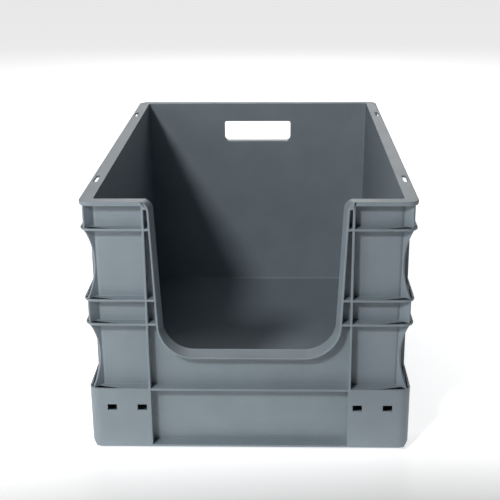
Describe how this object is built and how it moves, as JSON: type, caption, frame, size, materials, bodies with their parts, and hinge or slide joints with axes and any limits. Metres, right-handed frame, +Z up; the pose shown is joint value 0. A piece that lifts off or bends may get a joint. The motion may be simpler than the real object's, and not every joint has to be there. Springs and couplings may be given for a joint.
{
  "type": "stackable storage bin",
  "caption": "Open-top rectangular stacking bin with a U-shaped pick opening in the front, a rear hand hole, a flat slotted rim, ribbed sides and corner base blocks.",
  "frame": {"origin": "centre of the stacking foot's underside, on the ground", "axes": "+Z up, the open front faces -Y, +X to the right as seen from the front, +Y along the length to the rear"},
  "size_m": [0.4, 0.6, 0.328],
  "materials": {
    "walls": "fine moulded grain, satin",
    "ribs": "fine moulded grain, satin",
    "rim": "fine moulded grain, satin",
    "base": "fine moulded grain, satin"
  },
  "bodies": {
    "root": {"floor_panel": "base", "floor_grid": "base", "stacking_foot": "base", "bottom_flange": "base", "left_wall": "walls", "right_wall": "walls", "rear_wall": "walls", "front_wall": "walls", "front_left_corner": "walls", "front_right_corner": "walls", "rear_left_corner": "walls", "rear_right_corner": "walls", "left_rim": "rim", "right_rim": "rim", "rear_rim": "rim", "front_left_rim": "rim", "front_right_rim": "rim", "opening_lip": "rim", "hand_hole_collar": "rim", "front_left_block": "walls", "front_right_block": "walls", "rear_left_block": "walls", "rear_right_block": "walls", "base_rib": "ribs", "lower_middle_rib": "ribs", "upper_middle_rib": "ribs", "upper_rib": "ribs", "front_webs": "ribs", "rear_webs": "ribs", "left_webs": "ribs", "right_webs": "ribs", "front_left_gusset": "ribs", "front_right_gusset": "ribs", "rear_left_gusset": "ribs", "rear_right_gusset": "ribs"}
  },
  "joints": []
}
